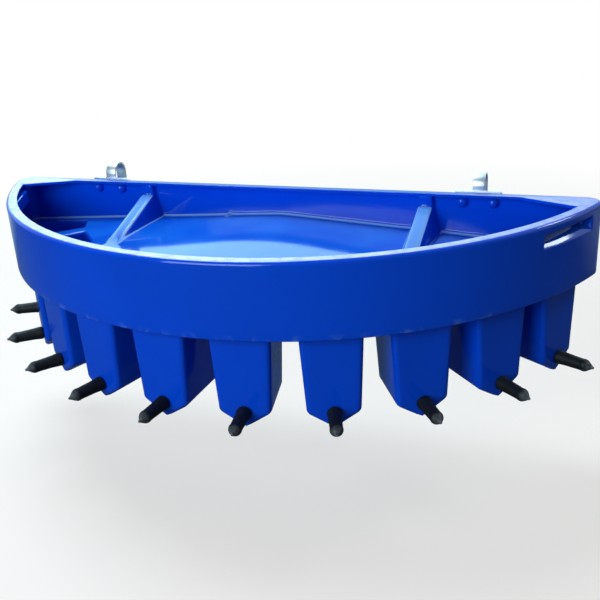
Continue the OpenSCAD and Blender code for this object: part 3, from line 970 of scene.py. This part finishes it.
def floor_skin(tub, well):
    """Points and faces of the closed skin: milk side, underside and the cove that joins them."""
    milk = Side(well.edge - well.wall, well.lip, lambda p: floor_height(tub, p))
    under = Side(well.edge, 1 * MM, lambda p: under_height(tub, well, p))
    edge = inset_loop(tub, tub.wall + tub.cove)
    buried = 0.5 * MM
    rings = []
    for step in quarter(7):
        rise = tub.cove * (1 - math.cos(step))
        ring = inset_loop(tub, tub.wall - buried + (tub.cove + buried) * (1 - math.sin(step)))
        heights = [min(milk.height(q) + rise, RIM_Z - tub.rim_t + buried) for q in edge]
        rings.append([raised(p, z) for p, z in zip(ring, heights)])
    foot = inset_loop(tub, tub.wall - buried)
    rings.append([raised(p, under.height(p)) for p in foot])
    points, faces = swept(rings)
    for side, loop in ((milk, edge), (under, foot)):
        more, new = floor_side(tub, well, side, loop)
        faces += [tuple(len(points) + i for i in face) for face in new]
        points += more
    return points, faces


class FEEDER_OT_floor(bpy.types.Operator):
    """Makes the conical floor with its ribs and ten wells as one moulded skin"""

    bl_idname = "feeder.floor"
    bl_label = "Floor and Wells"

    def execute(self, context):
        tub, well = context.scene.feeder_tub, context.scene.feeder_well
        material = material_of(moulded_polyethylene, tub)
        points, faces = floor_skin(tub, well)
        sharp = math.radians(60)
        piece = mesh_object("tub_floor_and_wells", points, faces, material, sharp)
        part_of_tub(piece, "polyethylene", "tub_floor", *WELL_NODES)
        return {"FINISHED"}


def new_tree(name, sizes):
    """A Geometry Nodes tree with a geometry input, named sizes and a geometry output."""
    tree = bpy.data.node_groups.new(name, "GeometryNodeTree")
    tree.interface.new_socket("Geometry", in_out="INPUT", socket_type="NodeSocketGeometry")
    for size in sizes:
        tree.interface.new_socket(size, in_out="INPUT", socket_type="NodeSocketFloat")
    tree.interface.new_socket("Geometry", in_out="OUTPUT", socket_type="NodeSocketGeometry")
    add = partial(add_node, tree)
    return tree, add, add("NodeGroupInput")


def end_tree(add, geometry, material, points=None):
    """Ends a tree with real geometry in one material, on each of some points."""
    if points is not None:
        inputs = {"Points": points, "Instance": geometry}
        geometry = add("GeometryNodeInstanceOnPoints", inputs)["Instances"]
    real = add("GeometryNodeRealizeInstances", {"Geometry": geometry})["Geometry"]
    painted = add("GeometryNodeSetMaterial", {"Geometry": real, "Material": material})["Geometry"]
    add("NodeGroupOutput", {"Geometry": painted})


def grown(name, points, tree, sizes, material, sharp_angle):
    """A plain mesh object that a tree grows on some points."""
    seed = bpy.data.meshes.new(name + "_seed")
    seed.from_pydata([tuple(p) for p in points], [], [])
    host = linked(name + "_host", seed)
    modifier = host.modifiers.new("grow", "NODES")
    modifier.node_group = tree
    for item in tree.interface.items_tree:
        if item.in_out == "INPUT" and item.name in sizes:
            modifier[item.identifier] = sizes[item.name]
    evaluated = host.evaluated_get(bpy.context.evaluated_depsgraph_get())
    mesh = bpy.data.meshes.new_from_object(evaluated)
    bpy.data.objects.remove(host)
    bpy.data.meshes.remove(seed)
    mesh.name = name
    return dressed(name, mesh, material, sharp_angle)


# Outline of a teat: shares of its length from the flange to the tip, and shares of the stem's radius
FLANGE = [(0.0, 0.9), (0.012, 1.28), (0.03, 1.34), (0.052, 1.3), (0.062, 0.98), (0.075, 0.93)]
COLLAR = [(0.155, 0.93), (0.168, 1.05), (0.178, 1.11), (0.2, 1.14), (0.24, 1.13), (0.3, 1.08)]
STEM = [(0.4, 1.02), (0.55, 0.98), (0.7, 0.95), (0.75, 0.96), (0.775, 0.99), (0.805, 0.97)]
CONE = [(0.85, 0.82), (0.9, 0.57), (0.935, 0.38), (0.95, 0.29), (0.97, 0.24), (0.99, 0.17), (1.0, 0.06)]
TEAT_OUTLINE = FLANGE + COLLAR + STEM + CONE
# Share of the stem's radius at the top of the outline's curve
TEAT_MOST = 1.5
# Turn that lays an upright shape along the tub's depth
LAID = (math.pi / 2, 0, 0)


def teat_tree(material):
    """Tree of a teat: a line along its axis with its outline as the radius, bored from behind."""
    places = ["Turn", "Arc Radius", "Arc Centre", "Height"]
    tree, add, given = new_tree("teat", ["Start", "Length", "Stem", "Bore", "Bore Depth", *places])
    tip = add(MATH, {0: given["Start"], 1: given["Length"]}, operation="SUBTRACT")["Value"]
    most, drilled, outwards = (
        add(MATH, {0: given[name], 1: factor}, operation="MULTIPLY")["Value"]
        for name, factor in (("Stem", TEAT_MOST), ("Bore Depth", 2), ("Arc Radius", -1))
    )
    start, end, out, centre, turned = (
        add(JOINED, axes)["Vector"]
        for axes in (
            {"Y": given["Start"]},
            {"Y": tip},
            {"Y": outwards},
            {"Y": given["Arc Centre"], "Z": given["Height"]},
            {"Z": given["Turn"]},
        )
    )
    line = add("GeometryNodeCurvePrimitiveLine", {"Start": start, "End": end})["Curve"]
    fine = add("GeometryNodeResampleCurve", {"Curve": line, "Count": 150})["Curve"]
    along = add("GeometryNodeSplineParameter")["Factor"]
    profile = add("ShaderNodeFloatCurve", {"Value": along})["Value"]
    mapping = profile.node.mapping
    curve = mapping.curves[0]
    while len(curve.points) < len(TEAT_OUTLINE):
        curve.points.new(0.5, 0.5)
    for point, (share, radius) in zip(curve.points, TEAT_OUTLINE):
        point.location = (share, radius / TEAT_MOST)
        point.handle_type = "AUTO_CLAMPED"
    mapping.update()
    inputs = {"Geometry": fine, "Name": "along", "Value": along}
    kind = {"data_type": "FLOAT", "domain": "POINT"}
    noted = add("GeometryNodeStoreNamedAttribute", inputs, **kind)["Geometry"]
    inputs = {
        "Curve": noted,
        "Profile Curve": add(CIRCLE, {"Resolution": 48, "Radius": 1.0})["Curve"],
        "Scale": add(MATH, {0: profile, 1: most}, operation="MULTIPLY")["Value"],
        "Fill Caps": True,
    }
    body = add(SWEPT, inputs)["Mesh"]
    inputs = {"Vertices": 32, "Radius": given["Bore"], "Depth": drilled}
    drill = add(ROD, inputs, fill_type="NGON")["Mesh"]
    laid = add(MOVED, {"Geometry": drill, "Translation": start, "Rotation": LAID})["Geometry"]
    kind = {"operation": "DIFFERENCE", "solver": "EXACT"}
    bored = add(BOOLEAN, {"Mesh 1": body, "Mesh 2": laid}, **kind)["Mesh"]
    placed = add(MOVED, {"Geometry": bored, "Translation": out})["Geometry"]
    inputs = {"Geometry": placed, "Translation": centre, "Rotation": turned}
    end_tree(add, add(MOVED, inputs)["Geometry"], material)
    return tree


class FEEDER_OT_teats(bpy.types.Operator):
    """Makes the ten rubber teats at the wells' faces"""

    bl_idname = "feeder.teats"
    bl_label = "Teats"

    def execute(self, context):
        teat, well = context.scene.feeder_teat, context.scene.feeder_well
        material = material_of(moulded_rubber, teat)
        tree = teat_tree(material)
        inside, bore_depth, near, far = (n * MM for n in (10, 44, 4, 34))
        face = well.wall / 2
        for hinge, angle in zip(HINGES, TURNS):
            sizes = {
                "Start": inside,
                "Length": inside + face + teat.reach,
                "Stem": teat.stem,
                "Bore": teat.bore,
                "Bore Depth": bore_depth,
                "Turn": angle,
                "Arc Radius": HINGE_R,
                "Arc Centre": ARC_Y,
                "Height": TEAT_Z,
            }
            node = hinge["child"]
            piece = grown(node + "_rubber", [(0, 0, 0)], tree, sizes, material, CRISP)
            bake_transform(piece)
            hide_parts(node)
        return {"FINISHED"}


def bolt_places():
    """Places of the four bolts on the tub's back face, read from the washers."""
    washers = frame["nodes"]["bolt_washers"].data.vertices
    places = []
    for side in (-1, 1):
        own = sorted(v.co.x for v in washers if v.co.x * side > 0)
        middle = (own[0] + own[-1]) / 2
        for step in (-1, 1):
            near = [v.co for v in washers if v.co.x * side > 0 and (v.co.x - middle) * step > 0]
            x = (min(p.x for p in near) + max(p.x for p in near)) / 2
            z = (min(p.z for p in near) + max(p.z for p in near)) / 2
            places.append(Vector((x, BACK_Y, z)))
    return places


def dome_tree(material):
    """Tree of the domes that cover the threaded inserts inside the tub."""
    tree, add, given = new_tree("insert_domes", ["Radius", "Height", "Wall"])
    ball = add("GeometryNodeMeshUVSphere", {"Segments": 40, "Rings": 24, "Radius": 1.0})["Mesh"]
    depth = add(MATH, {0: given["Wall"], 1: -0.9}, operation="MULTIPLY")["Value"]
    inputs = {
        "Geometry": ball,
        "Translation": add(JOINED, {"Y": depth})["Vector"],
        "Rotation": LAID,
        "Scale": add(JOINED, {"X": given["Radius"], "Y": given["Radius"], "Z": given["Height"]})["Vector"],
    }
    end_tree(add, add(MOVED, inputs)["Geometry"], material, given["Geometry"])
    return tree


class FEEDER_OT_domes(bpy.types.Operator):
    """Makes the four domes over the threaded inserts"""

    bl_idname = "feeder.domes"
    bl_label = "Insert Domes"

    def execute(self, context):
        tub = context.scene.feeder_tub
        material = material_of(moulded_polyethylene, tub)
        sizes = {"Radius": 10.5 * MM, "Height": 12.5 * MM, "Wall": tub.wall}
        piece = grown("insert_domes", bolt_places(), dome_tree(material), sizes, material, CRISP)
        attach(piece, TUB_BODY)
        inserts = frame["nodes"]["threaded_inserts"].data
        inserts.materials.clear()
        inserts.materials.append(material_of(turned_brass))
        return {"FINISHED"}


class FEEDER_OT_hooks(bpy.types.Operator):
    """Makes the two galvanised hooks with eased edges"""

    bl_idname = "feeder.hooks"
    bl_label = "Hooks"

    def execute(self, context):
        hook = context.scene.feeder_hook
        material = material_of(galvanised_steel, hook)
        flat, crisp, sharp = math.radians(0.5), 0.7, math.radians(35)
        for node in ("left_hook", "right_hook"):
            bm = bmesh.new()
            bm.from_mesh(frame["nodes"][node].data)
            bmesh.ops.remove_doubles(bm, verts=bm.verts, dist=MERGE)
            bmesh.ops.dissolve_limit(bm, angle_limit=flat, verts=bm.verts, edges=bm.edges)
            edges = [e for e in bm.edges if len(e.link_faces) == 2 and e.calc_face_angle() > crisp]
            bmesh.ops.bevel(
                bm,
                geom=edges,
                offset=hook.edge,
                segments=3,
                profile=0.5,
                affect="EDGES",
                clamp_overlap=True,
            )
            mesh = bpy.data.meshes.new(node + "_bar")
            bm.to_mesh(mesh)
            bm.free()
            part_of_tub(dressed(node + "_bar", mesh, material, sharp), "galvanised_steel", node)
        return {"FINISHED"}


def bolt_tree(material):
    """Tree of the hook bolts: a chamfered hexagon head and a shank, on each bolt's place."""
    tree, add, given = new_tree("hook_bolts", ["Flats", "Head", "Shank", "Reach", "Seat"])
    flats, height, reach = given["Flats"], given["Head"], given["Reach"]
    corner, half, top, bottom, depth, low, whole = (
        add(MATH, {0: size, 1: other}, operation=operation)["Value"]
        for operation, size, other in (
            ("DIVIDE", flats, math.sqrt(3)),
            ("DIVIDE", height, 2),
            ("MULTIPLY", flats, 0.47),
            ("MULTIPLY", flats, 1.1),
            ("MULTIPLY", height, 1.02),
            ("MULTIPLY", height, -0.51),
            ("ADD", reach, height),
        )
    )
    drop = add(MATH, {0: whole, 1: -2}, operation="DIVIDE")["Value"]
    rise = add(MATH, {0: given["Seat"], 1: half}, operation="ADD")["Value"]
    prism, shank = (
        add(ROD, {"Vertices": sides, "Radius": radius, "Depth": tall}, fill_type="NGON")["Mesh"]
        for sides, radius, tall in ((6, corner, height), (32, given["Shank"], reach))
    )
    # A wide cone cuts the corners of the head, as forging does.
    inputs = {"Vertices": 64, "Radius Top": top, "Radius Bottom": bottom, "Depth": depth}
    cone = add("GeometryNodeMeshCone", inputs, fill_type="NGON")["Mesh"]
    cutter, stem = (
        add(MOVED, {"Geometry": solid, "Translation": add(JOINED, {"Z": z})["Vector"]})["Geometry"]
        for solid, z in ((cone, low), (shank, drop))
    )
    kind = {"operation": "INTERSECT", "solver": "EXACT"}
    head = add(BOOLEAN, {"Mesh 2": [prism, cutter]}, **kind)["Mesh"]
    inputs = {
        "Geometry": add("GeometryNodeJoinGeometry", {"Geometry": [head, stem]})["Geometry"],
        "Translation": add(JOINED, {"Y": rise})["Vector"],
        "Rotation": (-math.pi / 2, 0, 0),
    }
    end_tree(add, add(MOVED, inputs)["Geometry"], material, given["Geometry"])
    return tree


def washer_tree(material):
    """Tree of the washers: a flat ring with eased edges, on each bolt's place."""
    tree, add, given = new_tree("bolt_washers", ["Outer", "Inner", "Thickness", "Seat"])
    across = {0: given["Outer"], 1: given["Inner"]}
    both, width = (add(MATH, across, operation=name)["Value"] for name in ("ADD", "SUBTRACT"))
    middle = add(MATH, {0: both, 1: 2}, operation="DIVIDE")["Value"]
    easing = add(MATH, {0: given["Thickness"], 1: 0.22}, operation="MULTIPLY")["Value"]
    inputs = {"Width": width, "Height": given["Thickness"]}
    section = add("GeometryNodeCurvePrimitiveQuadrilateral", inputs)["Curve"]
    inputs = {
        "Curve": add(CIRCLE, {"Resolution": 48, "Radius": middle})["Curve"],
        "Profile Curve": add("GeometryNodeFilletCurve", {"Curve": section, "Radius": easing})["Curve"],
    }
    ring = add(SWEPT, inputs)["Mesh"]
    seat = add(JOINED, {"Y": given["Seat"]})["Vector"]
    inputs = {"Geometry": ring, "Translation": seat, "Rotation": LAID}
    end_tree(add, add(MOVED, inputs)["Geometry"], material, given["Geometry"])
    return tree


class FEEDER_OT_bolts(bpy.types.Operator):
    """Makes the four hook bolts and their washers"""

    bl_idname = "feeder.bolts"
    bl_label = "Bolts and Washers"

    def execute(self, context):
        hook = context.scene.feeder_hook
        material = material_of(bright_zinc)
        low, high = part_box("bolt_washers")
        thick = high.y - low.y
        seat = low.y - BACK_Y
        sizes = {
            "Flats": hook.head_flats,
            "Head": hook.head_h,
            "Shank": hook.shank,
            "Reach": seat + thick + 10 * MM,
            "Seat": seat + thick,
        }
        sharp = math.radians(30)
        bolts = grown("hook_bolt_set", bolt_places(), bolt_tree(material), sizes, material, sharp)
        part_of_tub(bolts, "zinc_plate", "hook_bolts")
        sizes = {
            "Outer": hook.washer,
            "Inner": hook.shank + 0.2 * MM,
            "Thickness": thick,
            "Seat": seat + thick / 2,
        }
        rings = grown("bolt_washer_set", bolt_places(), washer_tree(material), sizes, material, sharp)
        part_of_tub(rings, "zinc_plate", "bolt_washers")
        return {"FINISHED"}


# Each lamp's place and size in metres, power in watts and tint
LAMPS = {
    "sky_behind": ((-1.5, 2.4, 1.3), (3.9, 1.7), 58, (0.38, 0.86, 1)),
    "sky_above": ((-0.9, 0.35, 2.3), (1.2, 1.2), 64, (0.6, 0.87, 1)),
    "key_left": ((-0.75, -2.9, 1.0), (1.8, 1.8), 72, (0.68, 0.9, 1)),
    "sky_right": ((1.9, 1.1, 1.45), (0.45, 0.45), 11, (0.8, 0.94, 1)),
}
LAMP_AIM = Vector((0, -0.2, -0.1))
# Where the camera stands
CAMERA_PLACE = Vector((550.1, -1412.9, 377.6)) * MM
# Width of the camera's sensor in millimetres
SENSOR = 36
# Half the width of the studio floor
FLOOR_HALF = 9.0


def soft_lamp(name, place, size, power, tint):
    """A soft lamp that faces the tub."""
    data = bpy.data.lights.new(name, "AREA")
    data.color = tint
    data.shape = "RECTANGLE"
    data.size, data.size_y = size
    data.energy = power
    lamp = linked(name, data)
    lamp.location = place
    lamp.rotation_euler = (LAMP_AIM - Vector(place)).to_track_quat("-Z", "Y").to_euler()


def pale_world():
    """White to the eye, soft even light on surfaces, and a pale sky behind the tub in reflections."""
    world = bpy.data.worlds.new("studio")
    bpy.context.scene.world = world
    world.use_nodes = True
    world.node_tree.nodes.clear()
    add = partial(add_node, world.node_tree)
    path = add("ShaderNodeLightPath")
    heading = add("ShaderNodeTexCoord")["Generated"]
    ahead = add(PARTED, {"Vector": heading})["Y"]
    open_sky = add(RANGE, {0: ahead, 1: -0.1, 2: 0.35})["Result"]
    rays = {0: path["Is Camera Ray"], 1: path["Is Transmission Ray"]}
    seen = add(MATH, rays, operation="MAXIMUM")["Value"]
    room = {0: open_sky, 6: (0.1, 0.1, 0.1, 1), 7: (0.7, 0.9, 1, 1)}
    mirrored = add(MIX, room, data_type="RGBA")[2]
    room = {0: path["Is Glossy Ray"], 6: (0.16, 0.16, 0.16, 1), 7: mirrored}
    lit = add(MIX, room, data_type="RGBA")[2]
    tone = add(MIX, {0: seen, 6: lit, 7: WHITE}, data_type="RGBA")[2]
    glow = add("ShaderNodeBackground", {"Color": tone, "Strength": 1.0})["Background"]
    add("ShaderNodeOutputWorld", {"Surface": glow})


def painted_floor(add, where, stage):
    """Painted studio floor: matt and nearly white, running out into the white of the world."""
    blotch = add(NOISE, {"Vector": where, "Scale": per_size(300), "Detail": 2})["Fac"]
    depth = add(PARTED, {"Vector": where})["Y"]
    flat = add(VECTOR, {0: where, 1: (1, 1, 0)}, operation="MULTIPLY")["Vector"]
    away = add(VECTOR, {0: flat}, operation="LENGTH")["Value"]
    tone, behind_tub, far = (
        add(RANGE, dict(enumerate(row)))["Result"]
        for row in ((blotch, *SPAN, 0, 1), (depth, 0.5, 1, 0, 1), (away, 0.9, 2.2, 0.5, 1))
    )
    eye = add("ShaderNodeLightPath")["Is Camera Ray"]
    # The floor is pale to the eye, and in front of the tub it throws little light up.
    coat, ground = (
        add(MIX, {0: share, 6: first, 7: second}, data_type="RGBA")[2]
        for share, first, second in (
            (tone, shade(stage.pale, 0.985), shade(stage.pale)),
            (behind_tub, paint("#505965"), paint("#bcbcbc")),
        )
    )
    looks = {
        "Base Color": add(MIX, {0: eye, 6: ground, 7: coat}, data_type="RGBA")[2],
        "Roughness": 0.9,
        "Specular IOR Level": 0.1,
    }
    floor = add(PRINCIPLED, looks)["BSDF"]
    white = add("ShaderNodeEmission", {"Color": WHITE, "Strength": 1.0})["Emission"]
    share = add(MATH, {0: far, 1: eye}, operation="MULTIPLY")["Value"]
    return add("ShaderNodeMixShader", {0: share, 1: floor, 2: white})["Shader"]


class FEEDER_OT_stage(bpy.types.Operator):
    """Makes the floor, the light and the camera"""

    bl_idname = "feeder.stage"
    bl_label = "Stage"

    def execute(self, context):
        stage = context.scene.feeder_stage
        level = cad_box[0].z - stage.drop
        signs = ((-1, -1), (1, -1), (1, 1), (-1, 1))
        corners = [(x * FLOOR_HALF, y * FLOOR_HALF, level) for x, y in signs]
        mesh = bpy.data.meshes.new("studio_floor")
        mesh.from_pydata(corners, [], [(0, 1, 2, 3)])
        mesh.materials.append(material_of(painted_floor, stage))
        floor = linked("studio_floor", mesh)
        pale_world()
        for name, values in LAMPS.items():
            soft_lamp(name, *values)
        self.add_camera(context, stage)
        context.scene.view_settings.view_transform = "Standard"
        return {"FINISHED"}

    def add_camera(self, context, stage):
        """A camera at the height, distance and angle from which the tub is seen."""
        data = bpy.data.cameras.new("camera")
        data.sensor_width = SENSOR
        data.lens = stage.lens / MM
        camera = linked("camera", data)
        level = math.cos(stage.pitch)
        ahead = Vector(
            (math.sin(stage.yaw) * level, math.cos(stage.yaw) * level, math.sin(stage.pitch))
        )
        right = Vector((math.cos(stage.yaw), -math.sin(stage.yaw), 0))
        up = right.cross(ahead)
        tilted = right * math.cos(stage.roll) + up * math.sin(stage.roll)
        upright = up * math.cos(stage.roll) - right * math.sin(stage.roll)
        axes = Matrix((tilted, upright, -ahead)).transposed()
        camera.matrix_world = Matrix.Translation(CAMERA_PLACE) @ axes.to_4x4()
        context.scene.camera = camera


class FEEDER_PT_panel(bpy.types.Panel):
    """Lists the feeder's pieces and their sizes"""

    bl_idname = "FEEDER_PT_panel"
    bl_label = "Lamb Feeder"
    bl_space_type = "VIEW_3D"
    bl_region_type = "UI"
    bl_category = "Feeder"

    def draw(self, context):
        for operator in OPERATORS:
            self.layout.operator(operator.bl_idname)
        for group in SETTINGS:
            box = self.layout.box()
            settings = getattr(context.scene, group)
            for name in settings.__annotations__:
                box.prop(settings, name)


SETTINGS = {
    "feeder_tub": FeederTubSettings,
    "feeder_well": FeederWellSettings,
    "feeder_teat": FeederTeatSettings,
    "feeder_hook": FeederHookSettings,
    "feeder_stage": FeederStageSettings,
}
OPERATORS = [
    FEEDER_OT_stage,
    FEEDER_OT_shell,
    FEEDER_OT_floor,
    FEEDER_OT_domes,
    FEEDER_OT_teats,
    FEEDER_OT_hooks,
    FEEDER_OT_bolts,
]


def register():
    for cls in [*SETTINGS.values(), *OPERATORS, FEEDER_PT_panel]:
        bpy.utils.register_class(cls)
    for name, cls in SETTINGS.items():
        setattr(bpy.types.Scene, name, PointerProperty(type=cls))


def unregister():
    for name in SETTINGS:
        delattr(bpy.types.Scene, name)
    for cls in reversed([*SETTINGS.values(), *OPERATORS, FEEDER_PT_panel]):
        bpy.utils.unregister_class(cls)


def main():
    register()
    for operator in OPERATORS:
        group, name = operator.bl_idname.split(".")
        getattr(getattr(bpy.ops, group), name)()


if __name__ == "__main__":
    main()
